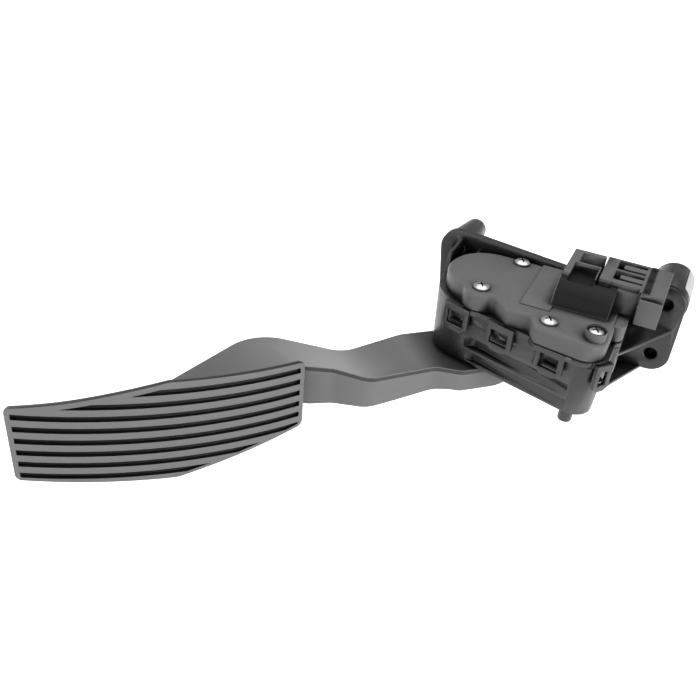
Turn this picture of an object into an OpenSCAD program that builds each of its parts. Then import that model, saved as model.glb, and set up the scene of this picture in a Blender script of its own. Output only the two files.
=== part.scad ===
/* [Tread and arm] */
// Length of the tread along its chord
tread_length = 141; // [110:1:170]
// Height of the tread at its two ends
tread_end_height = 42.5; // [36:0.5:50]
// How far the long edges of the tread rise between its ends
tread_crown = 8; // [4:0.5:12]
// How far the tread bulges towards the foot
tread_bulge = 10; // [6:0.5:14]
// Thickness of the tread plate
tread_thickness = 3.8; // [3.4:0.1:5]
// Angle of the tread's chord to the flange
tread_angle = 46.9; // [43:0.1:50]
// Slope of the grooves along the tread
groove_slope = 5.7; // [3:0.1:8]
// Distance from groove to groove
groove_pitch = 6.8; // [6:0.1:8]
// Width of a groove
groove_width = 3.1; // [2:0.1:4]
// Depth of a groove
groove_depth = 2.2; // [1.5:0.1:2.4]
// Plain rim left round the grooves
groove_rim = 2.4; // [1.5:0.1:4]
// Depth of the arm at the tread
arm_depth = 24; // [20:0.5:28]
// Depth of the arm at the hub
arm_hub_depth = 13; // [11:0.5:16]
// Radius of the hub disc of the arm
arm_hub_r = 20; // [17:0.5:23]
// Wall of the ribbed underside of the arm
arm_wall = 3; // [2:0.25:4]

/* [Pivot] */
// Radius of the steel pivot shaft
shaft_r = 4; // [3:0.1:5]
// Running clearance of the shaft in its bushes
shaft_clearance = 0.06; // [0.02:0.01:0.1]
// Wall of the plain bushes
bush_wall = 2; // [1.5:0.1:2.5]
// Gap between the arm and the tub that the washer fills
washer_thickness = 1; // [0.8:0.1:2]
// Pedal travel in degrees
travel = 16; // [12:1:18]
// Radius of the drum on the drive hub
drum_r = 9; // [8.5:0.25:9.5]

/* [Tub] */
// Height of the tub from its rim to its floor
tub_height = 32.6; // [30:0.2:38]
// Radius of the round left end of the tub
tub_end_r = 25.8; // [25:0.1:27]
// Wall of the tub
tub_wall = 2.8; // [2:0.1:3.4]
// Floor of the tub
tub_floor = 3; // [2:0.25:4]
// How far the front wall slopes in towards the floor
tub_draft = 5; // [2:0.25:7]
// Thickness of the ridges between the front pockets
ridge_thickness = 2; // [1.5:0.1:3]
// Radius of the locating peg
peg_r = 3.5; // [2.5:0.1:4]
// Length of the locating peg
peg_length = 6; // [4:0.5:9]

/* [Flange] */
// Thickness of the flange plate
flange_thickness = 5; // [4:0.25:6]
// Distance between the two upper bolt bores
bolt_pitch = 111.5; // [110:0.5:114]
// Drop from the upper bores to the lower bore
bolt_drop = 29.5; // [27:0.5:31]
// Radius of the bolt bores
bolt_bore_r = 3.3; // [3.2:0.1:4.2]
// Radius of the right stand-off tube
standoff_r = 10.4; // [9.8:0.1:11]
// Length of the stand-offs behind the flange
standoff_length = 26; // [18:1:32]
// Radius of the left stand-off at its seat
left_tip_r = 6; // [5.4:0.2:8]
// Thickness of the shelves and webs
web_thickness = 2; // [1.5:0.1:3]

/* [Lid] */
// Thickness of the lid plate
lid_thickness = 2.8; // [2:0.1:3.2]
// Width of a snap loop
loop_width = 15; // [12:0.5:16]
// Reach of a snap loop below the lid
loop_drop = 12; // [10:0.2:13]
// Thickness of a snap loop
loop_thickness = 2.2; // [1.5:0.1:2.6]
// Gap between the loops and the tub
loop_gap = 0.3; // [0.2:0.05:0.6]

/* [Sensor cover] */
// Height of the cover above its seal
cover_height = 9; // [8.5:0.1:11]
// Wall of the cover's skirt
cover_wall = 2.2; // [1.8:0.1:2.8]
// Roof of the cover
cover_roof = 3; // [2:0.1:3.4]
// Radius of the cover's rounded top edge
cover_edge_r = 2.4; // [1:0.1:2.8]
// Thickness of the seal between the cover and the lid
seal_thickness = 0.6; // [0.4:0.1:1]
// Thickness of the circuit board
board_thickness = 1.4; // [1:0.1:1.6]

/* [Connector] */
// Height of the connector above the cover
connector_height = 14; // [13:0.25:16]
// Width of the connector
connector_width = 31.2; // [29:0.2:32]
// Length of the connector
connector_length = 49; // [47:0.5:54]
// Wall of the socket
socket_wall = 2; // [1.5:0.1:2.4]
// Depth of the socket
socket_depth = 11.5; // [9:0.5:12]
// Number of contact pins
pin_count = 6; // [4:1:6]
// Thickness of a contact pin
pin_size = 0.8; // [0.6:0.1:1]

/* [Screws] */
// Radius of a cover screw's head
screw_head_r = 4; // [3.4:0.1:4.2]
// Height of a cover screw's head
screw_head_h = 2.3; // [1.8:0.1:2.8]
// Radius of a cover screw's shank
screw_r = 1.6; // [1.3:0.1:1.9]
// Length of a cover screw's shank
screw_length = 17; // [15.5:0.5:17.5]

/* [Hidden] */
$fn = 64;
eps = 0.01;
reach = 400;

// Heights are counted from the flat top of the sensor cover, places from the pivot axis
seal_top = -cover_height;
lid_top = seal_top - seal_thickness;
rim_z = lid_top - lid_thickness;
floor_z = rim_z - tub_height;
cavity_z = floor_z + tub_floor;
arm_top = floor_z - washer_thickness;
arm_tread_z = arm_top - arm_depth;
arm_hub_z = arm_top - arm_hub_depth;
bolt_z = -4.5;

// The flange stands behind the tub, square to the bolts
flange_y = 24;
flange_back = flange_y + flange_thickness;
left_bolt_x = -26;
right_bolt_x = left_bolt_x + bolt_pitch;
low_bolt_z = bolt_z - bolt_drop;
seat_y = flange_back + standoff_length;

// Round corners of the outlines as centre x, centre y and radius, a minus radius for a hollow corner
cover_end_r = 22.5;
lobe = [0.5, -19.5, 8.5];
left_end = [0, 0, cover_end_r];
cover_corners = [left_end, blend(left_end, lobe, 2), lobe, [8.3, -27.3, -2.5], [19.8, -29.5, 3.2],
    [28.5, -34.5, -2], [36.5, -37.6, 3.4], [57.5, -34.5, 9.5], [63.8, 19.3, 3.2]];
front_corner = [59.5, -33, 10];
back_corner = [64.3, 18.8, 5.2];
rim_corners = [[0, 0, tub_end_r], front_corner, back_corner];
floor_corners = [[-tub_draft - 0.5, 1.5, tub_end_r - tub_draft - 0.8], front_corner + [-2, tub_draft + 1.5, -0.5], back_corner + [-3, 0, 0]];
chamber_r = 15;
chamber_corners = [[0, 0, chamber_r], front_corner + [-4, tub_draft + 4, -1], back_corner + [-5, -1.5, -1]];

// Cover screws, the last one on a raised boss
screws = [[0.5, -19.5], [11, 17.8], [38.5, -33.4], [60.5, -35.6]];
screw_lift = [0, 0, 0, 2.2];
screw_boss_r = 3.6;
tub_boss_r = [4.1, 4.1, 3.6, 4.5];
side_corners = [[66.6, -14.5, 5], [66.6, -6, 5], [61, -6, 5], [61, -14.5, 5]];
pilot_gap = 0.05;
head_gap = 0.2;

// Return lever on the drive hub and its stops
corner_loop = 9.5;
finger_angle = 12;
finger_width = 6;
finger_reach = 23;
finger_bottom = rim_z - 12;
finger_top = rim_z - 4.2;
stop_size = 3;
stop_gap = 0.3;
shoe_gap = 0.3;
shoe_thickness = 3.6;

// The arm's outline in plan, hub first
tread_right = [-67.6, -73.3];
arm_corners = [[0, 0, arm_hub_r], [-27, -23, 18], [-70.5, -29.5, -16], [-88.5, -74.2, 25],
    tread_corner(77.5, 1.5, 6), tread_corner(70, 16, 4), tread_corner(8, 16, 4), tread_corner(0.5, -5.5, -3),
    [-54, -74.2, -14], [-43.5, -47.2, 12], [-7.3, -39.7, -10], [-3.5, -19.5, 8.5]];
tread_z = arm_top - 13;

// Connector, measured from the pivot
connector_x = 35.5;
connector_back = 23;
connector_front = connector_back - connector_width;
mouth_x = connector_x + connector_length;
socket_x = mouth_x - socket_depth;
bush_seat_r = shaft_r + shaft_clearance + bush_wall;
pin_pitch = (connector_width - 2 * socket_wall - 5) / (pin_count - 1);
pin_z = 4.6;
board_top = -cover_roof;
board_bottom = board_top - board_thickness;

// Round corner counted along the tread's chord from the arm's end and out towards the foot
function tread_corner(along, out, r) =
    [tread_right[0] - along * cos(tread_angle) + out * sin(tread_angle),
        tread_right[1] - along * sin(tread_angle) - out * cos(tread_angle), r];

// Hollow corner of radius rho that all but touches the round corners a and b from outside
function blend(a, b, rho) =
    let (ra = a[2] + rho, rb = b[2] + rho, d = [b[0] - a[0], b[1] - a[1]], l = norm(d))
    let (along = (l * l + ra * ra - rb * rb) / (2 * l), across = sqrt(max(0, ra * ra - along * along)))
    [a[0] + (d[0] * along + d[1] * across) / l, a[1] + (d[1] * along - d[0] * across) / l, 0.05 - rho];

// Outward direction of the straight line that runs from round corner a to round corner b
function line_side(a, b) =
    let (d = [b[0] - a[0], b[1] - a[1]])
    atan2(d[1], d[0]) - acos(max(-1, min(1, (a[2] - b[2]) / norm(d))));

function steps(corner) = abs(corner[2]) > 15 ? 22 : abs(corner[2]) > 6 ? 10 : 6;

// Points of an outline that wraps round its corners like a belt, moved inwards by inset
function belt(corners, inset = 0) =
    let (n = len(corners))
    [for (i = [0 : n - 1])
        let (c = corners[i], before = line_side(corners[(i + n - 1) % n], c),
            after = line_side(c, corners[(i + 1) % n]), r = c[2] - inset,
            turn = c[2] > 0 ? (after - before + 720) % 360 : -((before - after + 720) % 360))
        for (k = [0 : steps(c)])
            let (a = before + turn * k / steps(c))
            [c[0] + r * cos(a), c[1] + r * sin(a)]];

// Solid through level outlines, each given as its height and its points
module loft(rings) {
    n = len(rings[0][1]);
    last = len(rings) - 1;
    points = [for (ring = rings) for (p = ring[1]) [p[0], p[1], ring[0]]];
    sides = [for (i = [0 : last - 1]) for (k = [0 : n - 1])
        for (half = [0, 1])
            let (a = i * n + k, b = i * n + (k + 1) % n)
            half == 0 ? [a, a + n, b + n] : [a, b + n, b]];
    bottom = [for (k = [0 : n - 1]) k];
    top = [for (k = [n - 1 : -1 : 0]) last * n + k];
    polyhedron(points = points, faces = concat([bottom], sides, [top]), convexity = 8);
}

// Puts the pivot-based model in the part's frame, with its origin on the right bolt bore's seat
module placed() {
    translate([-right_bolt_x, -seat_y, -bolt_z]) children();
}

// Turns a shape drawn in plan to lie in the flange, x along it and y up, with its front face at y
module upright(y) {
    translate([0, y, 0]) rotate([90, 0, 0]) mirror([0, 0, 1]) children();
}

// Tube along the bolts from a start behind the flange's front to the seat
module standoff(x, z, r, tip_r, start) {
    upright(flange_y + start) translate([x, z, 0]) cylinder(r1 = r, r2 = tip_r, h = seat_y - flange_y - start);
}

// Ring-shaped coring of the wide stand-off, left open at the seat between four webs
module standoff_core(x, z, r) {
    core_in = bolt_bore_r + 2.2;
    upright(flange_back) translate([x, z, 0]) difference() {
        cylinder(r = r - 2.2, h = standoff_length + 1);
        translate([0, 0, -1]) cylinder(r = core_in, h = standoff_length + 3);
        for (a = [45, 135]) rotate([0, 0, a])
            translate([-r, -web_thickness / 2, -1]) cube([2 * r, web_thickness, standoff_length + 3]);
    }
}

module bolt_bores() {
    for (bolt = [[left_bolt_x, bolt_z], [right_bolt_x, bolt_z], [right_bolt_x, low_bolt_z]])
        upright(flange_y - 1) translate([bolt[0], bolt[1], 0]) cylinder(r = bolt_bore_r, h = seat_y);
}

module flange() {
    lobe_r = 9.8;
    left_r = 10.4;
    corners = [[left_bolt_x - 1.5, floor_z + 5, 5], [right_bolt_x, low_bolt_z, lobe_r],
        [right_bolt_x, bolt_z, lobe_r], [right_bolt_x - 16, bolt_z + 8.6, -6.5], [left_bolt_x, bolt_z, left_r]];
    upright(flange_y) linear_extrude(flange_thickness) polygon(belt(corners));
    standoff(left_bolt_x, bolt_z, left_r - 0.5, left_tip_r, 1);
    standoff(right_bolt_x, bolt_z, standoff_r, standoff_r, 2);
    standoff(right_bolt_x, low_bolt_z, lobe_r - 0.5, left_tip_r + 1, 1);
}

// Level shelf from the tub's right wall out to the flange
module shelf(z, wall, near, far) {
    translate([0, 0, z]) linear_extrude(web_thickness)
        polygon([[wall, near], [wall + 2, near], [far, flange_y + 1], [wall, flange_y + 1]]);
}

// Upright web from the tub's left end back to the flange
module side_web(x, near, top) {
    translate([x - web_thickness / 2, 0, 0]) rotate([90, 0, 90]) linear_extrude(web_thickness)
        polygon([[near, floor_z + 0.5], [flange_y + 1, floor_z + 0.5], [flange_y + 1, top], [near + 1, top - 0.6],
            [near, rim_z + 2]]);
}

// Long pocket in the front wall that runs out towards the right corner
module pocket(low, high, far_depth) {
    side = line_side(rim_corners[0], rim_corners[1]);
    outside = tub_end_r + 8;
    rotate([0, 0, side]) translate([0, 0, low]) linear_extrude(high - low)
        polygon([[chamber_r + 1.9, 8], [outside, -8], [outside, 63], [far_depth, 63]]);
}

// Puts a shape on each place of the tub wall that has a snap, x outwards and y along the wall
module at_loops() {
    side = line_side(rim_corners[0], rim_corners[1]);
    for (along = [25, 53])
        rotate([0, 0, side]) translate([tub_end_r, along, 0]) children();
    rotate([0, 0, 253]) translate([tub_end_r, 0, 0]) children();
}

// The narrow snap on the tub's front right corner
module at_corner() {
    translate([front_corner[0], front_corner[1], 0]) rotate([0, 0, -38]) translate([front_corner[2], 0, 0]) children();
}

// Wedge that a snap loop's window catches on
module catch(width) {
    size = 2.6;
    root = 2.2;
    translate([-root, width / 2, rim_z - 8.4]) rotate([90, 0, 0]) linear_extrude(width)
        polygon([[0, -1], [root + size - 0.4, size - 0.6], [root + size - 0.4, size], [0, size + 1]]);
}

module stop_post(side) {
    translate([finger_reach - 8, side > 0 ? stop_size : -2 * stop_size, 0])
        translate([0, 0, cavity_z - eps]) cube([9, stop_size, finger_top - cavity_z]);
}

// Drafted outer form of the tub, hollowed out and with the long pockets in its front wall
module tub_shell() {
    step_z = rim_z - 10;
    ridge_low = floor_z + 8.5;
    ridge_high = ridge_low + ridge_thickness;
    difference() {
        loft([[floor_z, belt(floor_corners)], [rim_z, belt(rim_corners)]]);
        loft([[cavity_z, belt(chamber_corners)], [step_z + 1, belt(chamber_corners)]]);
        loft([[step_z, belt(rim_corners, tub_wall + 1)], [rim_z + 0.5, belt(rim_corners, tub_wall)]]);
        pocket(floor_z + 2, ridge_low, tub_end_r - tub_draft - 0.6);
        pocket(ridge_high, rim_z - 14.5, tub_end_r - tub_draft + 1.2);
    }
}

module housing_tub() {
    bush_tube = 3.5;
    boss_h = 11;
    color("#2b2b2d") placed() difference() {
        union() {
            tub_shell();
            for (i = [0 : 3]) translate([screws[i][0], screws[i][1], rim_z - boss_h]) cylinder(r = tub_boss_r[i], h = boss_h);
            translate([0, 0, cavity_z - 0.5]) cylinder(r = bush_seat_r + 2.2, h = bush_tube);
            rotate([0, 0, finger_angle]) translate([0, finger_width / 2 + stop_gap, 0]) stop_post(1);
            rotate([0, 0, finger_angle - travel]) translate([0, -finger_width / 2 - stop_gap, 0]) stop_post(-1);
            at_loops() catch(loop_width * 0.45);
            at_corner() catch(corner_loop * 0.3);
            flange();
            shelf(floor_z + 0.4, 64, -14, 83);
            shelf(rim_z - 7.2, 68, -16, right_bolt_x + 7.5);
            side_web(left_bolt_x + 1.4, 3.4, bolt_z + 7.4);
            side_web(left_bolt_x + 12, 20, bolt_z + 3.2);
            translate([0, 0, rim_z - 16]) linear_extrude(16) side_swell();
            translate([56.5, -32, floor_z - peg_length]) cylinder(r = peg_r, h = peg_length + 1);
        }
        standoff_core(right_bolt_x, bolt_z, standoff_r);
        bolt_bores();
        translate([0, 0, floor_z - 1]) cylinder(r = bush_seat_r, h = 8);
        for (i = [0 : 3]) translate([screws[i][0], screws[i][1], rim_z - 7]) cylinder(r = screw_r + pilot_gap, h = 12);
    }
}

// Swelling of the right wall that runs up the tub, the lid and the cover
module side_swell() {
    intersection() {
        polygon(belt(side_corners));
        translate([66.4, -30]) square([20, 60]);
    }
}

// Frame of a snap loop, flat against the wall, x outwards and y along the wall
module snap_loop(width) {
    half = width / 2;
    bar = 2.6;
    bottom = lid_top - lid_thickness - loop_drop;
    translate([loop_gap, 0, 0]) rotate([90, 0, 90]) linear_extrude(loop_thickness) difference() {
        polygon([[-half, lid_top], [-half, bottom + half * 0.45], [-half * 0.45, bottom], [half * 0.45, bottom],
            [half, bottom + half * 0.45], [half, lid_top]]);
        translate([-half + bar, bottom + bar + 1]) square([width - 2 * bar, loop_drop - 4.4]);
    }
    translate([-2, 0.2 - half, rim_z + 0.2]) cube([3 + loop_gap, width - 0.4, lid_thickness - 0.4]);
}

module housing_lid() {
    color("#26262a") placed() difference() {
        union() {
            translate([0, 0, rim_z]) linear_extrude(lid_thickness) {
                polygon(belt(rim_corners));
                polygon(belt(cover_corners));
                side_swell();
            }
            at_loops() snap_loop(loop_width);
            at_corner() snap_loop(corner_loop);
            translate([0, 0, rim_z - 3]) cylinder(r = bush_seat_r + 2, h = 3 + eps);
        }
        translate([0, 0, rim_z - 4]) cylinder(r = bush_seat_r, h = 8);
        for (s = screws) translate([s[0], s[1], rim_z - 1]) cylinder(r = screw_r + 0.4, h = 6);
        for (web = [[left_bolt_x + 1.4, 2], [left_bolt_x + 12, 17]])
            translate([web[0] - web_thickness / 2 - 0.3, web[1], rim_z - 1]) cube([web_thickness + 0.6, 30, 6]);
        translate([-50, flange_y - 0.3, rim_z - 1]) cube([150, 10, 6]);
    }
}

// Outer form of the cover, rounded along its top edge and cut off flat at z = 0
module cover_form() {
    rounds = 5;
    past = 0.02;
    top_rings = [for (k = [0 : rounds - 1])
        let (a = 90 * k / rounds)
        [-cover_edge_r + cover_edge_r * sin(a), belt(cover_corners, cover_edge_r * (1 - cos(a)))]];
    difference() {
        loft(concat([[seal_top, belt(cover_corners)]], top_rings,
            [[past, belt(cover_corners, cover_edge_r * (1 + 2 * past))]]));
        translate([-reach / 2, -reach / 2, 0]) cube(reach);
    }
}

module connector_form() {
    hump_r = 13.6;
    collar = 11;
    panel = 0.5;
    translate([connector_x, connector_front + 2, -eps])
        cube([connector_length - 2, connector_width - 2, connector_height]);
    translate([mouth_x - collar, connector_front, -2]) cube([collar, connector_width, connector_height + 2]);
    translate([mouth_x - collar, connector_front - 1.4, -2]) cube([collar, 3, connector_height - 0.6]);
    intersection() {
        translate([connector_x - 0.5, -5, connector_height - 2 - hump_r]) rotate([0, 90, 0])
            cylinder(r = hump_r, h = 27.5);
        translate([0, -30, -1]) cube([100, 40, 30]);
    }
    translate([21.5, -24, -0.3]) cube([connector_x - 20.8, 46, panel + 0.3]);
}

module connector_cuts() {
    rib_from = connector_x + 25.3;
    rib_to = socket_x - 0.6;
    slots = [[0.275, 2], [0.47, 3.4], [0.645, 2], [0.86, 3]];
    socket_top = connector_height - socket_wall;
    tab_x = mouth_x - 10.4;
    translate([socket_x, connector_front + socket_wall, 0])
        cube([socket_depth + 1, connector_width - 2 * socket_wall, socket_top]);
    for (s = slots)
        translate([rib_from, connector_front + s[0] * connector_width, connector_height - 3.4])
            cube([rib_to - rib_from, s[1], 5]);
    for (i = [0, 2])
        translate([rib_from - 2.2, connector_front + slots[i][0] * connector_width, connector_height - 5])
            cube([2.8, (slots[i + 1][0] - slots[i][0]) * connector_width + slots[i + 1][1], 8]);
    translate([tab_x, connector_front - 0.2, connector_height - 4.4]) cube([12, socket_wall - 0.5, 8]);
    translate([rib_from - 2, connector_front + 1, connector_height - 2.4]) cube([rib_to - rib_from + 2, 3.6, 5]);
    translate([connector_x + 4.8, connector_back - 14.4, connector_height - 9]) cube([11.6, 11, 12]);
    translate([connector_x + 16.2, connector_front + 3, connector_height - 9]) cube([0.9, connector_width, 12]);
    translate([connector_x + 3.3, connector_front - 1, connector_height - 5])
        cube([12.2, connector_width - 14.6, 8]);
    translate([connector_x + 15.4, connector_front + 1, connector_height - 3.6]) cube([8, 4, 8]);
}

// Three small bumps that mark the end of the socket
module connector_trim() {
    pitch = (connector_width - 6.8) / 2;
    for (i = [0 : 2])
        translate([socket_x + 2.6, connector_front + 4.6 + i * pitch, connector_height - eps])
            cylinder(r = 1.3, h = 1);
}

module sensor_cover() {
    cavity_top = -cover_roof;
    color("#303033") placed() difference() {
        union() {
            difference() {
                cover_form();
                loft([[seal_top - 1, belt(cover_corners, cover_wall)], [cavity_top, belt(cover_corners, cover_wall)]]);
            }
            difference() {
                connector_form();
                connector_cuts();
            }
            connector_trim();
            translate([0, 0, seal_top]) linear_extrude(cover_height - 0.6) side_swell();
            for (i = [0 : 3]) translate([screws[i][0], screws[i][1], lid_top])
                cylinder(r = screw_boss_r, h = cover_height + seal_thickness - 1);
            translate([screws[3][0], screws[3][1], -1]) cylinder(r = screw_head_r + 0.9, h = 5.4);
        }
        for (i = [0 : 3]) translate([screws[i][0], screws[i][1], lid_top - 1]) {
            cylinder(r = screw_r + 0.4, h = 20);
            translate([0, 0, 1 - lid_top + screw_lift[i]]) cylinder(r = screw_head_r + head_gap, h = 10);
        }
        pin_runs();
    }
}

// Pan-head screw with a cross recess, its head's underside at z = 0
module pan_screw() {
    dome = 7;
    blade = 0.9;
    difference() {
        intersection() {
            cylinder(r = screw_head_r, h = screw_head_h);
            translate([0, 0, screw_head_h - dome]) sphere(r = dome);
        }
        for (a = [0, 90]) rotate([0, 0, a + 30])
            translate([-screw_head_r * 0.55, -blade / 2, screw_head_h * 0.35])
                cube([screw_head_r * 1.1, blade, screw_head_h]);
    }
    translate([0, 0, -screw_length]) cylinder(r = screw_r, h = screw_length + eps);
}

module cover_screws() {
    color("#d9dadb") placed() for (i = [0 : 3])
        translate([screws[i][0], screws[i][1], screw_lift[i]]) pan_screw();
}

module cover_seal() {
    color("#111111") placed() translate([0, 0, lid_top]) linear_extrude(seal_thickness) difference() {
        polygon(belt(cover_corners, 0.7));
        polygon(belt(cover_corners, cover_wall - 0.2));
        for (s = screws) translate(s) circle(r = screw_boss_r + 0.1);
    }
}

module circuit_board() {
    color("#1f5b34") placed() translate([0, 0, board_bottom]) linear_extrude(board_thickness) difference() {
        polygon(belt(cover_corners, cover_wall + 0.6));
        for (s = screws) translate(s) circle(r = screw_boss_r + 0.4);
        for (i = [0 : pin_count - 1])
            translate([pin_root_x() - pin_size / 2, pin_y(i) - pin_size / 2]) square(pin_size);
    }
}

function pin_root_x() = 60;
function pin_y(i) = connector_front + socket_wall + 2.5 + i * pin_pitch;

// Bent contact pins from the board up into the socket
module pin_runs() {
    half = pin_size / 2;
    for (i = [0 : pin_count - 1]) {
        translate([pin_root_x() - half, pin_y(i) - half, board_bottom - 0.6])
            cube([pin_size, pin_size, pin_z - board_bottom + 0.6 + half]);
        translate([pin_root_x() - half, pin_y(i) - half, pin_z - half])
            cube([socket_x + 6 - pin_root_x() + half, pin_size, pin_size]);
    }
}

module contact_pins() {
    color("#b8b8b4") placed() pin_runs();
}

// Plain bush with a collar at its inner end
module plain_bush(length, collar_z) {
    inner = shaft_r + shaft_clearance;
    difference() {
        union() {
            cylinder(r = inner + bush_wall, h = length);
            translate([0, 0, collar_z]) cylinder(r = inner + bush_wall + 1.6, h = 1);
        }
        translate([0, 0, -1]) cylinder(r = inner, h = length + 3);
    }
}

module lower_bush() {
    length = tub_floor + 3;
    color("#b49a5a") placed() translate([0, 0, floor_z]) plain_bush(length, length);
}

module upper_bush() {
    length = lid_thickness + 3;
    color("#b49a5a") placed() translate([0, 0, rim_z - 3]) plain_bush(length, -1);
}

module stop_block() {
    translate([finger_reach - 6.5, 0, finger_bottom]) cube([6, stop_size, finger_top - finger_bottom]);
}

module idle_stop() {
    color("#171717") placed() rotate([0, 0, finger_angle])
        translate([0, finger_width / 2 + stop_gap, 0]) stop_block();
}

module travel_stop() {
    color("#171717") placed() rotate([0, 0, finger_angle - travel])
        translate([0, -finger_width / 2 - stop_gap - stop_size, 0]) stop_block();
}

// Sector of a ring between two radii, centred on an angle
module ring_sector(inner, outer, angle, span, low, high) {
    rotate([0, 0, angle - span / 2]) translate([0, 0, low]) rotate_extrude(angle = span)
        translate([inner, 0]) square([outer - inner, high - low]);
}

module friction_shoe() {
    color("#8a7a5a") placed()
        ring_sector(drum_r + shoe_gap, drum_r + shoe_gap + shoe_thickness, 200, 70, finger_bottom, finger_top);
}

// Bowed leaf that pushes the shoe against the drum
module friction_spring() {
    leaf_r = drum_r + shoe_gap + shoe_thickness + 0.3;
    color("#9a9a9a") placed()
        ring_sector(leaf_r, leaf_r + 0.7, 200, 90, finger_bottom + 1, finger_top - 1);
}

// Wire coil about the pivot with straight legs at both ends
module torsion_spring(coil_r, wire_r, turns, low, start) {
    sides = 6;
    per_turn = 20;
    rise = 2 * wire_r + 0.35;
    leg = 7;
    count = turns * per_turn;
    path = concat(
        [[coil_r, -leg, low]],
        [for (k = [0 : count])
            let (a = 360 * k / per_turn)
            [coil_r * cos(a), coil_r * sin(a), low + rise * k / per_turn]],
        [[coil_r, leg, low + rise * turns]]);
    last = len(path) - 1;
    headings = [for (k = [0 : last])
        let (d = path[min(last, k + 1)] - path[max(0, k - 1)])
        atan2(d[1], d[0])];
    points = [for (k = [0 : last]) for (s = [0 : sides - 1])
        let (t = 360 * s / sides, side = wire_r * cos(t), up = wire_r * sin(t))
        path[k] + [side * sin(headings[k]), -side * cos(headings[k]), up]];
    skin = [for (k = [0 : last - 1]) for (s = [0 : sides - 1]) for (half = [0, 1])
        let (a = k * sides + s, b = k * sides + (s + 1) % sides)
        half == 0 ? [a, a + sides, b + sides] : [a, b + sides, b]];
    start_cap = [for (s = [0 : sides - 1]) s];
    end_cap = [for (s = [sides - 1 : -1 : 0]) last * sides + s];
    rotate([0, 0, start]) polyhedron(points = points, faces = concat([start_cap], skin, [end_cap]), convexity = 10);
}

module return_spring_outer() {
    color("#9c9c9c") placed() torsion_spring(13.1, 1, 4, cavity_z + 1.05, 40);
}

module return_spring_inner() {
    color("#9c9c9c") placed() torsion_spring(10.9, 0.9, 4, cavity_z + 0.95, 40);
}

module at_tread() {
    across = [cos(tread_angle), sin(tread_angle)] * tread_length;
    translate([tread_right[0] - across[0], tread_right[1] - across[1], tread_z])
        rotate([90, 0, tread_angle]) children();
}

// Round bar across the tread's bulge, r counted from the foot's side
module tread_roll(inwards) {
    radius = (tread_length * tread_length / 4 + tread_bulge * tread_bulge) / (2 * tread_bulge);
    translate([tread_length / 2, 60, tread_bulge - radius]) rotate([90, 0, 0])
        cylinder(r = radius - inwards, h = 120, $fn = 180);
}

// Outline of the tread plate, x from its free end to the arm
module tread_outline(inset) {
    half = tread_end_height / 2;
    r = 3.4;
    soft = 14;
    rise = tread_crown - 0.6;
    low = [tread_length * 0.52, -half - tread_crown + soft];
    high = [tread_length * 0.51, half + rise - soft];
    hollow_x = -10;
    run = high[0] - hollow_x;
    hollow = 0.8 * (run * run + rise * rise) / (2 * rise) - soft;
    polygon(belt([[r, -half + r, r], [low[0], low[1], soft], [tread_length - r, -half + r + 2, r],
        [tread_length - r, half - r, r], [high[0], high[1], soft], [hollow_x, half + hollow, -hollow],
        [r, half - r, r]], inset));
}

module tread() {
    grooves = 8;
    first = 16.4;
    lip = 2;
    at_tread() difference() {
        for (layer = [[0, 0, lip], [0.9, lip - 0.1, tread_thickness]]) intersection() {
            translate([0, 0, -12]) linear_extrude(26) tread_outline(layer[0]);
            difference() {
                tread_roll(layer[1]);
                tread_roll(layer[2]);
            }
        }
        intersection() {
            translate([0, -0.5, -14]) linear_extrude(30) tread_outline(groove_rim);
            translate([tread_length, first, 0]) rotate([0, 0, -groove_slope]) for (i = [0 : grooves - 1])
                translate([-tread_length - 20, -i * groove_pitch - groove_width / 2, -14])
                    cube([tread_length + 40, groove_width, 30]);
            difference() {
                tread_roll(-2);
                tread_roll(groove_depth);
            }
        }
    }
}

// Upright form of the arm from the side: level on top, deeper towards the tread
module arm_side(inset) {
    translate([0, 200, 0]) rotate([90, 0, 0]) linear_extrude(400)
        polygon([[60, arm_top - inset], [60, arm_hub_z], [-5, arm_hub_z], [-68, arm_tread_z],
            [-160, arm_tread_z], [-160, arm_top - inset]]);
}

// Open underside between the arm's walls, with ribs left standing
module arm_cores() {
    difference() {
        intersection() {
            translate([0, 0, arm_tread_z - 1]) linear_extrude(arm_depth + 1 - arm_wall)
                polygon(belt(arm_corners, arm_wall));
            translate([-135, -145, -reach]) cube([120, 125, reach + arm_top]);
        }
        cylinder(r = arm_hub_r - 3, h = 400, center = true);
        for (i = [-6 : 3])
            translate([-60 + i * 11, -160, arm_tread_z - 2]) cube([2, 160, 60]);
    }
}

module pedal_arm() {
    color("#333335") placed() difference() {
        union() {
            difference() {
                intersection() {
                    translate([0, 0, arm_tread_z]) linear_extrude(arm_depth) polygon(belt(arm_corners));
                    arm_side(0);
                }
                arm_cores();
                at_tread() difference() {
                    translate([-5, -60, -12]) cube([tread_length + 2, 120, 40]);
                    tread_roll(groove_depth + 0.6);
                }
            }
            tread();
        }
        translate([0, 0, arm_hub_z - 1]) cylinder(r = shaft_r, h = arm_hub_depth + 2);
    }
}

module pivot_shaft() {
    bottom = arm_hub_z - 3;
    groove_z = arm_hub_z - 1.2;
    color("#a9abae") placed() difference() {
        translate([0, 0, bottom]) cylinder(r = shaft_r, h = seal_top + 2.4 - bottom);
        translate([0, 0, groove_z]) difference() {
            cylinder(r = shaft_r + 1, h = 1);
            cylinder(r = shaft_r - 0.7, h = 1);
        }
    }
}

module thrust_washer() {
    color("#c9b98a") placed() translate([0, 0, arm_top]) difference() {
        cylinder(r = shaft_r + 6, h = washer_thickness - 0.1);
        translate([0, 0, -1]) cylinder(r = shaft_r + 0.1, h = washer_thickness + 2);
    }
}

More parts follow.
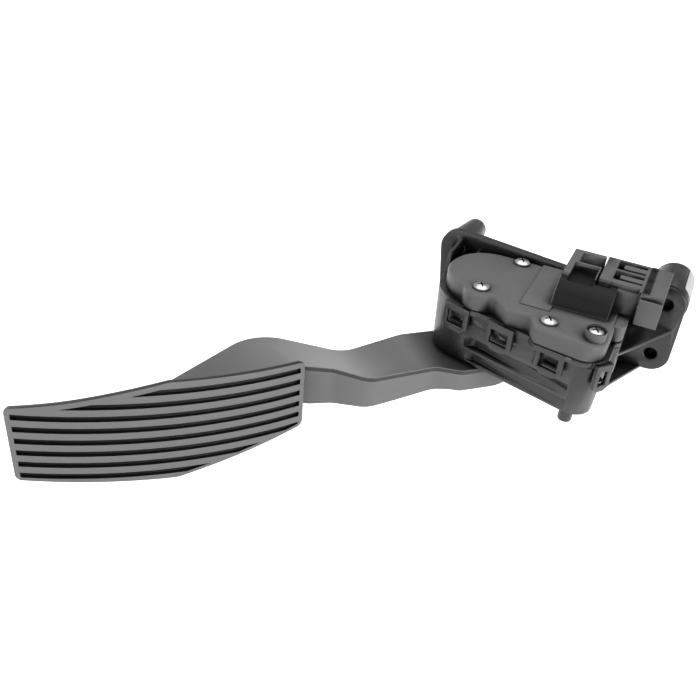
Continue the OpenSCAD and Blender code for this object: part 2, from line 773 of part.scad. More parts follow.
// Open spring clip in the shaft's groove under the arm
module shaft_clip() {
    color("#77797c") placed() translate([0, 0, arm_hub_z - 1.1]) difference() {
        cylinder(r = shaft_r + 2.4, h = 0.8);
        translate([0, 0, -1]) cylinder(r = shaft_r - 0.6, h = 3);
        translate([0, -1.6, -1]) cube([12, 3.2, 3]);
    }
}

module drive_hub() {
    low = cavity_z + 4.2;
    color("#5c5f63") placed() difference() {
        union() {
            rotate([0, 0, 180]) translate([0, 0, low]) cylinder(r = drum_r, h = finger_top - low);
            rotate([0, 0, finger_angle]) translate([0, -finger_width / 2, finger_bottom])
                cube([finger_reach, finger_width, finger_top - finger_bottom]);
        }
        translate([0, 0, low - 1]) cylinder(r = shaft_r, h = finger_top - low + 2);
    }
}

module sensor_rotor() {
    color("#c9c3b0") placed() difference() {
        union() {
            translate([0, 0, lid_top + 0.4]) cylinder(r = 7, h = 2.2);
            ring_sector(5, 15, 150, 60, lid_top + 0.8, lid_top + 2.4);
        }
        translate([0, 0, lid_top - 1]) cylinder(r = shaft_r, h = 10);
    }
}

// Two bent contact strips that slide on the board's tracks
module wiper_fingers() {
    base = lid_top + 2.4;
    top = board_bottom - 0.15;
    color("#c8a64e") placed() for (radius = [8.2, 12]) {
        ring_sector(radius, radius + 1.6, 150, 40, base, base + 0.3);
        ring_sector(radius, radius + 1.6, 134, 8, base, top);
    }
}

housing_tub();
housing_lid();
sensor_cover();
cover_screws();
cover_seal();
circuit_board();
contact_pins();
lower_bush();
upper_bush();
idle_stop();
travel_stop();
friction_shoe();
friction_spring();
return_spring_outer();
return_spring_inner();
pedal_arm();
pivot_shaft();
thrust_washer();
shaft_clip();
drive_hub();
sensor_rotor();
wiper_fingers();
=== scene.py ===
import math

import bmesh
import bpy
from mathutils import Matrix, Vector


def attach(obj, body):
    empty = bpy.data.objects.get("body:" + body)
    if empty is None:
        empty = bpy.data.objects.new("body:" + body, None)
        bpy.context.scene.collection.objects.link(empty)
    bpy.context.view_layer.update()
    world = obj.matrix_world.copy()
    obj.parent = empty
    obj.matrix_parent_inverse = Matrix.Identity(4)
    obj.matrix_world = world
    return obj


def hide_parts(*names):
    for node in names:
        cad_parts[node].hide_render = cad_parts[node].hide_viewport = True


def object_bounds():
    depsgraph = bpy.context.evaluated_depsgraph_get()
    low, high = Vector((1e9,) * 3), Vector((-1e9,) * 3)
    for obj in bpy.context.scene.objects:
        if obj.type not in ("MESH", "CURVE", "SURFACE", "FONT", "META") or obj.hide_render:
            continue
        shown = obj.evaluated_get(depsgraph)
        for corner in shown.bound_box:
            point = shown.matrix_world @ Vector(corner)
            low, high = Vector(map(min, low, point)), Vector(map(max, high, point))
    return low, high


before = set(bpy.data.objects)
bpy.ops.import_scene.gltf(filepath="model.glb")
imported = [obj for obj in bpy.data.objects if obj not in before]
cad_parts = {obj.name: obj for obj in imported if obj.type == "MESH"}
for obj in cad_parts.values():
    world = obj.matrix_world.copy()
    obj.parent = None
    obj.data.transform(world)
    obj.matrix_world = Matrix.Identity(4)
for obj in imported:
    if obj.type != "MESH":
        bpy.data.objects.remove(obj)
cad_low, cad_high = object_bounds()

# Camera
# It stands before the connector's end of the housing and a little above it, as the photograph was taken,
# with the picture turned by a few degrees.
camera_place = Vector((-0.0010, -0.4387, 0.2048))
camera_azimuth = math.radians(22.53)
camera_elevation = math.radians(33.55)
camera_roll = math.radians(5.25)
back = Vector((math.sin(camera_azimuth) * math.cos(camera_elevation),
               -math.cos(camera_azimuth) * math.cos(camera_elevation),
               math.sin(camera_elevation)))
level = Vector((0, 0, 1)).cross(back).normalized()
upright = back.cross(level)
across = math.cos(camera_roll) * level + math.sin(camera_roll) * upright
above = -math.sin(camera_roll) * level + math.cos(camera_roll) * upright
camera_data = bpy.data.cameras.new("view")
camera_data.lens = 43.35
camera_data.sensor_width = 36
camera_data.clip_start = 0.01
camera = bpy.data.objects.new("view", camera_data)
camera.matrix_world = Matrix.Translation(camera_place) @ Matrix((across, above, back)).transposed().to_4x4()
bpy.context.scene.collection.objects.link(camera)
bpy.context.scene.camera = camera

# Pedal arm
# The arm and its tread are one moulding in glass-filled nylon, satin from the tool and with softly rounded
# edges. The tread's face is rolled about an upright axis, and its grooves end inside a plain rim.
arm_edge = 0.0004
arm_grey = 0.15
arm_rough = 0.5
arm_top = -0.0416
# Painted light and shade along the arm's flat top, lightest about its bend and darker towards both ends.
arm_top_painted_light = [(-0.345, 0.5), (-0.298, 1.05), (-0.258, 2.0), (-0.240, 1.2), (-0.222, 0.8), (-0.205, 0.75),
              (-0.195, 1.0), (-0.185, 0.5), (-0.175, 0.2)]
# A band of painted shade runs just under the arm's top edge.
shaded_band_top = 0.0005
shaded_band_foot = 0.0024
shaded_band_share = 0.15
tread_axis = (-0.37907, -0.01339)
tread_r = 0.2535
tread_way = (0.6833, 0.7302)
tread_end = -0.1982
tread_rim = 0.004
groove_depth = 0.0022


def add_node(tree, kind, x, y, **settings):
    """Puts a shader node at x, y and sets its own fields and the values of its sockets."""
    made = tree.nodes.new(kind)
    made.location = (x, y)
    for field, value in settings.items():
        if field in made.inputs.keys():
            made.inputs[field].default_value = value
        else:
            setattr(made, field, value)
    return made


def wire(tree, source, target):
    """Joins an output to an input, each given as the node and the socket's name or number."""
    tree.links.new(source[0].outputs[source[1]], target[0].inputs[target[1]])


def effect(name, inputs, outputs):
    """Empty node group with its sockets, each given as a name, a kind and, for an input, a value."""
    group = bpy.data.node_groups.new(name, "ShaderNodeTree")
    for label, kind, value in inputs:
        socket = group.interface.new_socket(label, in_out="INPUT", socket_type=kind)
        socket.default_value = value
    for label, kind in outputs:
        group.interface.new_socket(label, in_out="OUTPUT", socket_type=kind)
    return group, add_node(group, "NodeGroupInput", -900, 0), add_node(group, "NodeGroupOutput", 700, 0)


def make_tool_grain():
    """Texture that a moulding takes from its tool: a fine grain, a soft mottle and slow flow clouds."""
    group, given, result = effect(
        "tool grain",
        [("Grain per metre", "NodeSocketFloat", 2600.0), ("Cloud per metre", "NodeSocketFloat", 45.0)],
        [("Tone", "NodeSocketFloat"), ("Height", "NodeSocketFloat"), ("Gloss", "NodeSocketFloat")])
    place = add_node(group, "ShaderNodeTexCoord", -900, -300)
    grain = add_node(group, "ShaderNodeTexNoise", -600, 200, Detail=3.0, Roughness=0.6)
    pits = add_node(group, "ShaderNodeTexVoronoi", -600, -100, feature="F1")
    cloud = add_node(group, "ShaderNodeTexNoise", -600, -400, Detail=4.0, Roughness=0.55, Distortion=0.6)
    for texture in (grain, pits, cloud):
        wire(group, (place, "Object"), (texture, "Vector"))
    wire(group, (given, "Grain per metre"), (grain, "Scale"))
    wire(group, (given, "Grain per metre"), (pits, "Scale"))
    wire(group, (given, "Cloud per metre"), (cloud, "Scale"))
    height = add_node(group, "ShaderNodeMath", -300, 100, operation="MULTIPLY_ADD")
    height.inputs[1].default_value = 0.45
    wire(group, (pits, "Distance"), (height, 0))
    wire(group, (grain, "Fac"), (height, 2))
    tone = add_node(group, "ShaderNodeMath", -300, -150, operation="MULTIPLY_ADD")
    tone.inputs[1].default_value = 0.22
    wire(group, (grain, "Fac"), (tone, 0))
    wire(group, (cloud, "Fac"), (tone, 2))
    gloss = add_node(group, "ShaderNodeMapRange", -300, -400)
    for field, value in (("From Min", 0.3), ("From Max", 0.7), ("To Min", 0.0), ("To Max", 1.0)):
        gloss.inputs[field].default_value = value
    wire(group, (cloud, "Fac"), (gloss, "Value"))
    wire(group, (tone, "Value"), (result, "Tone"))
    wire(group, (height, "Value"), (result, "Height"))
    wire(group, (gloss, "Result"), (result, "Gloss"))
    return group


def make_edge_wear_and_highlight():
    """Mask that is 1 on sharp outer edges, broken up by fine scuffs: paler edges that are partly handling
    wear and partly a painted highlight.
    """
    group, given, result = effect(
        "edge wear and highlight", [("Width", "NodeSocketFloat", 0.0005)],
        [("Wear and highlight", "NodeSocketFloat"), ("Normal", "NodeSocketVector")])
    rounded = add_node(group, "ShaderNodeBevel", -600, 100, samples=6)
    wire(group, (given, "Width"), (rounded, "Radius"))
    shape = add_node(group, "ShaderNodeNewGeometry", -600, -150)
    turn = add_node(group, "ShaderNodeVectorMath", -300, 0, operation="DOT_PRODUCT")
    wire(group, (rounded, "Normal"), (turn, 0))
    wire(group, (shape, "Normal"), (turn, 1))
    place = add_node(group, "ShaderNodeTexCoord", -900, -400)
    scuff = add_node(group, "ShaderNodeTexNoise", -600, -400, Scale=900.0, Detail=3.0)
    wire(group, (place, "Object"), (scuff, "Vector"))
    edge = add_node(group, "ShaderNodeMapRange", 0, 0)
    for field, value in (("From Min", 0.995), ("From Max", 0.86), ("To Min", 0.0), ("To Max", 1.0)):
        edge.inputs[field].default_value = value
    wire(group, (turn, "Value"), (edge, "Value"))
    broken = add_node(group, "ShaderNodeMath", 300, 0, operation="MULTIPLY")
    wire(group, (edge, "Result"), (broken, 0))
    wire(group, (scuff, "Fac"), (broken, 1))
    wire(group, (broken, "Value"), (result, "Wear and highlight"))
    wire(group, (rounded, "Normal"), (result, "Normal"))
    return group


def make_painted_recess_shade():
    """Share of the tone that is left in a recess: painted shade, darker where ambient occlusion finds the
    surface closed in.
    """
    group, given, result = effect(
        "painted recess shade", [("Reach", "NodeSocketFloat", 0.004), ("Closed", "NodeSocketFloat", 0.5)],
        [("Share", "NodeSocketFloat")])
    open_sky = add_node(group, "ShaderNodeAmbientOcclusion", -600, 0, samples=8)
    wire(group, (given, "Reach"), (open_sky, "Distance"))
    hidden = add_node(group, "ShaderNodeMapRange", -350, 0)
    for field, value in (("From Max", 0.95), ("To Min", 0.08), ("To Max", 1.0)):
        hidden.inputs[field].default_value = value
    wire(group, (given, "Closed"), (hidden, "From Min"))
    wire(group, (open_sky, "AO"), (hidden, "Value"))
    wire(group, (hidden, "Result"), (result, "Share"))
    return group


tool_grain = make_tool_grain()
edge_wear_and_highlight = make_edge_wear_and_highlight()
painted_recess_shade = make_painted_recess_shade()


def grey(value, warm=0.0):
    return (value * (1 + warm), value, value * (1 - warm), 1.0)


grain_height = 0.0001
palest_worn_highlight = 0.6


def moulded_plastic(name, tone, rough, grain_depth=0.25, spread=0.12, edge_width=0.0005, grain=2600.0,
                    warm=0.0, shade_reach=0.004, closed=0.5, shine=0.5):
    """Moulded plastic: tool grain in colour, gloss and height, paler edges that are partly wear and partly a
    painted highlight, and painted shade in recesses.
    """
    material = bpy.data.materials.new(name)
    material.use_nodes = True
    tree = material.node_tree
    tree.nodes.clear()
    result = add_node(tree, "ShaderNodeOutputMaterial", 900, 0)
    skin = add_node(tree, "ShaderNodeBsdfPrincipled", 600, 0)
    skin.inputs["IOR"].default_value = 1.5
    skin.inputs["Specular IOR Level"].default_value = shine
    texture = add_node(tree, "ShaderNodeGroup", -600, 100, node_tree=tool_grain)
    texture.inputs["Grain per metre"].default_value = grain
    edge_mark = add_node(tree, "ShaderNodeGroup", -600, -200, node_tree=edge_wear_and_highlight)
    edge_mark.inputs["Width"].default_value = edge_width
    colour = add_node(tree, "ShaderNodeMix", -200, 200, data_type="RGBA")
    colour.inputs["A"].default_value = grey(tone * (1 - spread), warm)
    colour.inputs["B"].default_value = grey(tone * (1 + spread), warm)
    wire(tree, (texture, "Tone"), (colour, "Factor"))
    # Paler edges: partly handling wear, partly a painted highlight.
    paler_edge = add_node(tree, "ShaderNodeMix", 100, 200, data_type="RGBA")
    paler_edge.inputs["B"].default_value = grey(min(palest_worn_highlight, tone * 1.5 + 0.03), warm)
    wire(tree, (edge_mark, "Wear and highlight"), (paler_edge, "Factor"))
    tree.links.new(colour.outputs["Result"], paler_edge.inputs["A"])
    # Painted shade: the colour darkens in recesses.
    recess = add_node(tree, "ShaderNodeGroup", -200, 500, node_tree=painted_recess_shade)
    recess.inputs["Reach"].default_value = shade_reach
    recess.inputs["Closed"].default_value = closed
    shaded = add_node(tree, "ShaderNodeVectorMath", 350, 200, operation="SCALE")
    tree.links.new(paler_edge.outputs["Result"], shaded.inputs[0])
    wire(tree, (recess, "Share"), (shaded, "Scale"))
    wire(tree, (shaded, "Vector"), (skin, "Base Color"))
    gloss = add_node(tree, "ShaderNodeMapRange", -200, -50)
    gloss.inputs["To Min"].default_value = rough - 0.05
    gloss.inputs["To Max"].default_value = rough + 0.06
    wire(tree, (texture, "Gloss"), (gloss, "Value"))
    wire(tree, (gloss, "Result"), (skin, "Roughness"))
    bump = add_node(tree, "ShaderNodeBump", 200, -250)
    bump.inputs["Strength"].default_value = grain_depth
    bump.inputs["Distance"].default_value = grain_height
    wire(tree, (texture, "Height"), (bump, "Height"))
    wire(tree, (edge_mark, "Normal"), (bump, "Normal"))
    wire(tree, (bump, "Normal"), (skin, "Normal"))
    wire(tree, (skin, "BSDF"), (result, "Surface"))
    return material


sharp_angle = math.radians(28)
same_face = math.radians(0.15)
weld_gap = 2e-6
least_share = 0.12
fold_area = 0.35e-6
most_tries = 16


def room_beside(edge, sharp):
    """Distance across an edge to the nearest other edges of its faces, halved where those are rounded too."""
    line = (edge.verts[1].co - edge.verts[0].co).normalized()
    room = min(face.calc_area() for face in edge.link_faces) / max(edge.calc_length(), 1e-9)
    for vert in edge.verts:
        for other in vert.link_edges:
            step = other.other_vert(vert).co - vert.co
            beside = other is not edge and set(other.link_faces) & set(edge.link_faces)
            slant = abs(step.dot(line)) / max(step.length, 1e-9)
            if beside and slant < 0.93:
                far = other.other_vert(vert).link_edges
                crowded = other.index not in sharp and any(k.index in sharp for k in far)
                room = min(room, step.length * math.sqrt(1 - slant * slant) / (2 if crowded else 1))
    return room


def edge_shares(form, radius, crisp):
    """For each sharp outer edge, the share of the radius that it has room for, evened out along its run."""
    sharp = {edge.index: edge for edge in form.edges
             if len(edge.link_faces) == 2 and edge.calc_face_angle_signed(0) > sharp_angle
             and not crisp(edge)}
    shares = {index: min(1.0, 0.8 * room_beside(edge, sharp) / radius) for index, edge in sharp.items()}
    ways = {index: (edge.verts[1].co - edge.verts[0].co).normalized() for index, edge in sharp.items()}
    for _ in range(3):
        evened = {}
        for index, edge in sharp.items():
            run = [shares[k.index] for vert in edge.verts for k in vert.link_edges
                   if k.index in sharp and abs(ways[k.index].dot(ways[index])) > 0.8]
            evened[index] = min(shares[index], min(1.5 * share + 0.02 for share in run))
        shares = evened
    return {index: share if share > least_share else 0.0 for index, share in shares.items()}


def folds(mesh):
    """Corners of the triangles that face away from the face they belong to."""
    form = bmesh.new()
    form.from_mesh(mesh)
    faces = {}
    for loops in form.calc_loop_triangles():
        one, two, three = (loop.vert.co for loop in loops)
        faces.setdefault(loops[0].face, []).append(((two - one).cross(three - one) / 2, (one, two, three)))
    found = []
    for parts in faces.values():
        facing = sum((area for area, corners in parts), Vector()).normalized()
        found += [[corner.copy() for corner in corners] for area, corners in parts
                  if area.length > fold_area and area.dot(facing) < 0.2 * area.length]
    form.free()
    return found


def touches(edge, spot, reach):
    """Tells whether an edge passes within reach of any corner of a spot."""
    start, end = edge.verts[0].co, edge.verts[1].co
    line = end - start
    for point in spot:
        along = min(1.0, max(0.0, (point - start).dot(line) / max(line.length_squared, 1e-18)))
        if (point - start - along * line).length < reach:
            return True
    return False


def rounded_copy(node, name, radius, crisp=lambda edge: False, rolled=lambda face: False,
                 mend=lambda form: None):
    """Copy of a node's form with its flat faces made whole and its sharp outer edges rounded.

    Edges that are crisp stay sharp, and faces that are rolled keep their own facets. Where the rounded form
    folds over itself, the edges about the fold are rounded less and it is made again.
    """
    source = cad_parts[node]
    form = bmesh.new()
    form.from_mesh(source.data)
    form.transform(source.matrix_world)
    bmesh.ops.remove_doubles(form, verts=form.verts, dist=weld_gap)
    mend(form)
    flat = [edge for edge in form.edges if not any(rolled(face) for face in edge.link_faces)]
    bmesh.ops.dissolve_limit(form, angle_limit=same_face, verts=form.verts, edges=flat)
    form.edges.index_update()
    shares = edge_shares(form, radius, crisp)
    weight = form.edges.layers.float.new("bevel_weight_edge")
    for face in form.faces:
        face.smooth = True
    mesh = bpy.data.meshes.new(name)
    piece = bpy.data.objects.new(name, mesh)
    bpy.context.scene.collection.objects.link(piece)
    bevel = piece.modifiers.new("rounding", "BEVEL")
    bevel.width = radius
    bevel.segments = 2
    bevel.limit_method = "WEIGHT"
    bevel.use_clamp_overlap = False
    bevel.harden_normals = True
    for attempt in range(most_tries):
        for edge in form.edges:
            edge[weight] = shares.get(edge.index, 0.0)
            edge.smooth = edge[weight] > 0 or edge.calc_face_angle(0) < sharp_angle
        form.to_mesh(mesh)
        rounded = bpy.data.meshes.new_from_object(piece.evaluated_get(bpy.context.evaluated_depsgraph_get()))
        spots = folds(rounded)
        if not spots:
            break
        reach = radius * (1.6 + 0.3 * attempt + 1.2 * max(0, attempt - 5))
        for edge in form.edges:
            share = shares.get(edge.index, 0.0)
            if share > 0 and any(touches(edge, spot, reach) for spot in spots):
                shares[edge.index] = share / 2 if attempt < 4 and share > 0.2 else 0.0
    form.free()
    piece.modifiers.clear()
    rounded.name = name
    piece.data = rounded
    return piece


def stand_for(piece, node, body, material):
    """Lets a piece stand for a node, ride on its body and take its slot's finish."""
    piece.data.materials.clear()
    piece.data.materials.append(material)
    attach(piece, body)
    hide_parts(node)


def refinish(material, *nodes):
    """Gives nodes that keep their own form a better material."""
    for node in nodes:
        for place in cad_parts[node].material_slots:
            place.material = material


wall_lean = 0.01
smallest_wall = 1e-6
roll_slack = math.radians(8)


def true_normals(piece):
    """Gives the tread's roll its own normals, and keeps rounded ends from tilting those of upright walls."""
    mesh = piece.data
    walls = {}
    for face in mesh.polygons:
        if abs(face.normal.z) < wall_lean:
            for vert in face.vertices:
                walls.setdefault(vert, []).append(face)
    normals = [corner.vector.copy() for corner in mesh.corner_normals]
    for face in mesh.polygons:
        for index in face.loop_indices:
            vert = mesh.loops[index].vertex_index
            place = mesh.vertices[vert].co
            out = Vector((place.x - tread_axis[0], place.y - tread_axis[1], 0)).normalized()
            side = normals[index].dot(out)
            if abs(side) > math.cos(roll_slack) and -0.0002 < behind_tread(place) < tread_rim:
                normals[index] = out * math.copysign(1, side)
            elif abs(face.normal.z) < wall_lean and face.area > smallest_wall:
                near = [wall.normal * wall.area for wall in walls[vert]
                        if wall.normal.angle(face.normal) < sharp_angle]
                normals[index] = sum(near, Vector()).normalized()
    mesh.normals_split_custom_set(normals)


def behind_tread(place):
    """Distance of a point behind the tread's rolled face."""
    return tread_r - math.hypot(place.x - tread_axis[0], place.y - tread_axis[1])


def in_groove(edge):
    """Tells whether an edge borders the wall of a groove."""
    for face in edge.link_faces:
        depths = [behind_tread(vert.co) for vert in face.verts]
        if min(depths) > -0.0001 and abs(max(depths) - groove_depth) < 0.0001:
            return True
    return False


def on_roll(face):
    """Tells whether a face lies on a roll about the tread's axis."""
    depths = [behind_tread(vert.co) for vert in face.verts]
    return max(depths) - min(depths) < 0.00003 and max(depths) < 0.008


def unrolled(place):
    """Place of a point on the tread's face once that is rolled out flat."""
    return Vector((tread_r * math.atan2(place.y - tread_axis[1], place.x - tread_axis[0]), place.z))


def crosses_badly(edge):
    """Tells whether two rolled triangles would lie closer to the roll with their other diagonal."""
    if len(edge.link_faces) != 2:
        return False
    if not all(on_roll(face) and len(face.verts) == 3 for face in edge.link_faces):
        return False
    one, two = (unrolled(vert.co) for vert in edge.verts)
    tips = [unrolled(vert.co) for face in edge.link_faces for vert in face.verts if vert not in edge.verts]
    sides = [(two - one).cross(tip - one) for tip in tips]
    ends = [(tips[1] - tips[0]).cross(end - tips[0]) for end in (one, two)]
    if sides[0] * sides[1] >= 0 or ends[0] * ends[1] >= -1e-14:
        return False
    return sum((one - tip).angle(two - tip) for tip in tips) > math.pi + 1e-4


def even_roll(form):
    """Turns the diagonals of the rolled faces until none of them cuts deep across the roll."""
    for _ in range(60):
        turned = 0
        for edge in list(form.edges):
            if edge.is_valid and crosses_badly(edge) and bmesh.utils.edge_rotate(edge):
                turned += 1
        if not turned:
            break


def ramp_node(tree, x, y, source, stops):
    """Smooth run of values from stops given as a place and a value, halved so that values up to 2 fit."""
    low, high = stops[0][0], stops[-1][0]
    spread = add_node(tree, "ShaderNodeMapRange", x, y)
    spread.inputs["From Min"].default_value = low
    spread.inputs["From Max"].default_value = high
    wire(tree, source, (spread, "Value"))
    ramp = add_node(tree, "ShaderNodeValToRGB", x + 200, y)
    ramp.color_ramp.interpolation = "B_SPLINE"
    while len(ramp.color_ramp.elements) < len(stops):
        ramp.color_ramp.elements.new(0.5)
    for element, (place, value) in zip(ramp.color_ramp.elements, stops):
        element.position = (place - low) / (high - low)
        element.color = (value / 2, value / 2, value / 2, 1)
    wire(tree, (spread, "Result"), (ramp, "Fac"))
    whole = add_node(tree, "ShaderNodeMath", x + 500, y, operation="MULTIPLY")
    whole.inputs[1].default_value = 2.0
    wire(tree, (ramp, "Color"), (whole, 0))
    return whole, "Value"


def between(tree, x, y, source, low, high, border):
    """Mask that is 1 where a value lies between two others."""
    masks = []
    for start, end in ((low - border, low), (high + border, high)):
        step = add_node(tree, "ShaderNodeMapRange", x, y, interpolation_type="SMOOTHSTEP")
        step.inputs["From Min"].default_value = start
        step.inputs["From Max"].default_value = end
        wire(tree, source, (step, "Value"))
        masks.append((step, "Result"))
    both = add_node(tree, "ShaderNodeMath", x + 200, y, operation="MULTIPLY")
    wire(tree, masks[0], (both, 0))
    wire(tree, masks[1], (both, 1))
    return both, "Value"


def blend_to(tree, x, y, share, mask, value):
    """Moves a share towards another one, given as a value or an output, where a mask is 1."""
    mix = add_node(tree, "ShaderNodeMix", x, y, data_type="FLOAT")
    wire(tree, mask, (mix, 0))
    wire(tree, share, (mix, 2))
    if isinstance(value, float):
        mix.inputs[3].default_value = value
    else:
        wire(tree, value, (mix, 3))
    return mix, "Result"


def make_pedal_painted_light():
    """Share of the tone on the pedal.

    Painted shade darkens the tread's grooves and its rim's thickness. Painted light and shade run along the
    arm's flat top, lightest about its bend, and a band of painted shade runs round just under its top edge.
    """
    group, given, result = effect(
        "pedal painted light", [("Groove shade", "NodeSocketFloat", 0.08)], [("Share", "NodeSocketFloat")])
    far_off = -0.5
    plate_front, plate_back = -0.0005, 0.0039
    groove_shade_from, groove_shade_to = 0.0003, 0.0033
    top_slack = 0.0006
    place = add_node(group, "ShaderNodeTexCoord", -1800, 0)
    parts = add_node(group, "ShaderNodeSeparateXYZ", -1600, 0)
    wire(group, (place, "Object"), (parts, 0))
    about = add_node(group, "ShaderNodeVectorMath", -1600, 300, operation="SUBTRACT")
    about.inputs[1].default_value = (*tread_axis, 0)
    wire(group, (place, "Object"), (about, 0))
    flat = add_node(group, "ShaderNodeVectorMath", -1400, 300, operation="MULTIPLY")
    flat.inputs[1].default_value = (1, 1, 0)
    wire(group, (about, "Vector"), (flat, 0))
    reach = add_node(group, "ShaderNodeVectorMath", -1200, 300, operation="LENGTH")
    wire(group, (flat, "Vector"), (reach, 0))
    behind = add_node(group, "ShaderNodeMath", -1000, 300, operation="SUBTRACT")
    behind.inputs[0].default_value = tread_r
    wire(group, (reach, "Value"), (behind, 1))
    shape = add_node(group, "ShaderNodeNewGeometry", -1800, -300)
    facing = add_node(group, "ShaderNodeSeparateXYZ", -1600, -300)
    wire(group, (shape, "True Normal"), (facing, 0))
    up = between(group, -1000, -300, (facing, "Z"), 0.8, 2.0, 0.3)
    level = between(group, -1000, -500, (parts, "Z"), arm_top - top_slack, arm_top + top_slack, 0.0004)
    on_top = add_node(group, "ShaderNodeMath", -600, -400, operation="MULTIPLY")
    wire(group, up, (on_top, 0))
    wire(group, level, (on_top, 1))
    along = add_node(group, "ShaderNodeMath", -1400, -100, operation="ADD")
    wire(group, (parts, "X"), (along, 0))
    wire(group, (parts, "Y"), (along, 1))
    top_light = ramp_node(group, -1000, 0, (along, "Value"), arm_top_painted_light)
    plain = add_node(group, "ShaderNodeValue", -600, 200)
    plain.outputs[0].default_value = 1.0
    share = blend_to(group, -300, 0, (plain, "Value"), (on_top, "Value"), top_light)
    lengthways = add_node(group, "ShaderNodeVectorMath", -1400, -700, operation="DOT_PRODUCT")
    lengthways.inputs[1].default_value = (*tread_way, 0)
    wire(group, (place, "Object"), (lengthways, 0))
    beyond = between(group, -1000, -700, (lengthways, "Value"), far_off, tread_end + 0.0002, 0.0002)
    slab = between(group, -1000, -800, (behind, "Value"), plate_front, plate_back, 0.0002)
    plate = add_node(group, "ShaderNodeMath", -800, -700, operation="MULTIPLY")
    wire(group, beyond, (plate, 0))
    wire(group, slab, (plate, 1))
    beside = add_node(group, "ShaderNodeMath", -700, -700, operation="SUBTRACT")
    beside.inputs[0].default_value = 1.0
    wire(group, (plate, "Value"), (beside, 1))
    # Painted shade: a dark band just under the arm's top edge.
    step = between(group, -1000, -900, (parts, "Z"), arm_top - shaded_band_foot, arm_top - shaded_band_top, 0.0003)
    under_top = add_node(group, "ShaderNodeMath", -600, -800, operation="MULTIPLY")
    wire(group, (beside, "Value"), (under_top, 0))
    wire(group, step, (under_top, 1))
    share = blend_to(group, 0, 0, share, (under_top, "Value"), shaded_band_share)
    # Painted shade in the tread's grooves and on its rim's thickness.
    tread = between(group, -1000, -1100, (lengthways, "Value"), far_off, tread_end, 0.0003)
    skin = between(group, -1000, -1300, (behind, "Value"), groove_shade_from, groove_shade_to, 0.0003)
    groove_shade = add_node(group, "ShaderNodeMath", -600, -1200, operation="MULTIPLY")
    wire(group, tread, (groove_shade, 0))
    wire(group, skin, (groove_shade, 1))
    share = blend_to(group, 300, 0, share, (groove_shade, "Value"), (given, "Groove shade"))
    wire(group, share, (result, "Share"))
    return group


pedal_plastic = moulded_plastic("pedal plastic", arm_grey, arm_rough)


def scale_tone(material, effect_group):
    """Multiplies a material's colour by the share that an effect gives."""
    tree = material.node_tree
    skin = next(node for node in tree.nodes if node.type == "BSDF_PRINCIPLED")
    wear = add_node(tree, "ShaderNodeGroup", 350, 500, node_tree=effect_group)
    scaled = add_node(tree, "ShaderNodeVectorMath", 450, 300, operation="SCALE")
    tree.links.new(skin.inputs["Base Color"].links[0].from_socket, scaled.inputs[0])
    wire(tree, (wear, "Share"), (scaled, "Scale"))
    wire(tree, (scaled, "Vector"), (skin, "Base Color"))


# Multiplies painted light and shade into the pedal's colour.
scale_tone(pedal_plastic, make_pedal_painted_light())
pedal = rounded_copy("pedal_arm", "pedal", arm_edge, in_groove, on_roll, even_roll)
true_normals(pedal)
stand_for(pedal, "pedal_arm", "pedal", pedal_plastic)

# Housing tub
# The housing's lower shell with the flange, the stand-offs, the shelves and the webs is one nylon moulding.
# It is much darker than the pedal, and its outer walls are drafted so that it leaves the tool.
tub_edge = 0.0006
tub_grey = 0.016
tub_rough = 0.36
# Painted shade darkens its pockets, reaching far into them.
tub_plastic = moulded_plastic("tub plastic", tub_grey, tub_rough, shade_reach=0.012, closed=0.64)
stand_for(rounded_copy("housing_tub", "tub", tub_edge), "housing_tub", "housing", tub_plastic)

# Housing lid
# The housing's lid is a dark nylon moulding with a satin skin. It is pressed on and held by loops that snap
# over wedges on the tub.
lid_edge = 0.0004
lid_grey = 0.024
lid_rough = 0.38
lid_plastic = moulded_plastic("lid plastic", lid_grey, lid_rough, shade_reach=0.006, closed=0.6)
stand_for(rounded_copy("housing_lid", "lid", lid_edge), "housing_lid", "housing", lid_plastic)

# Sensor cover
# The cover carries the sensor's socket and is screwed down on a seal. It is moulded in one piece, and the
# hump over the socket's root is much darker than the grained faces beside it.
cover_edge = 0.0005
cover_grey = 0.12
cover_rough = 0.46
hump_grey = 0.007
knob_grey = 0.004
dark_rough = 0.5
dark_border = 0.0008
hump_low = Vector((-0.0505, -0.0750, 0.0050))
hump_high = Vector((-0.0225, -0.0462, 0.0172))
knob_low = Vector((-0.0120, -0.0640, 0.0178))
knob_high = Vector((-0.0078, -0.0280, 0.0210))


def make_box_mask():
    """Mask that is 1 between two corners, with soft borders of a given width."""
    group, given, result = effect(
        "box mask",
        [("Low", "NodeSocketVector", (0, 0, 0)), ("High", "NodeSocketVector", (1, 1, 1)),
         ("Border", "NodeSocketFloat", 0.001)],
        [("Mask", "NodeSocketFloat")])
    place = add_node(group, "ShaderNodeTexCoord", -900, -300)
    inside = []
    for first, second in (((place, "Object"), (given, "Low")), ((given, "High"), (place, "Object"))):
        gap = add_node(group, "ShaderNodeVectorMath", -650, 0, operation="SUBTRACT")
        wire(group, first, (gap, 0))
        wire(group, second, (gap, 1))
        parts = add_node(group, "ShaderNodeSeparateXYZ", -450, 0)
        wire(group, (gap, "Vector"), (parts, 0))
        for axis in "XYZ":
            ramp = add_node(group, "ShaderNodeMapRange", -250, 0, interpolation_type="SMOOTHSTEP")
            wire(group, (parts, axis), (ramp, "Value"))
            wire(group, (given, "Border"), (ramp, "From Max"))
            inside.append((ramp, "Result"))
    total = inside[0]
    for other in inside[1:]:
        both = add_node(group, "ShaderNodeMath", 200, 0, operation="MULTIPLY")
        wire(group, total, (both, 0))
        wire(group, other, (both, 1))
        total = (both, "Value")
    wire(group, total, (result, "Mask"))
    return group


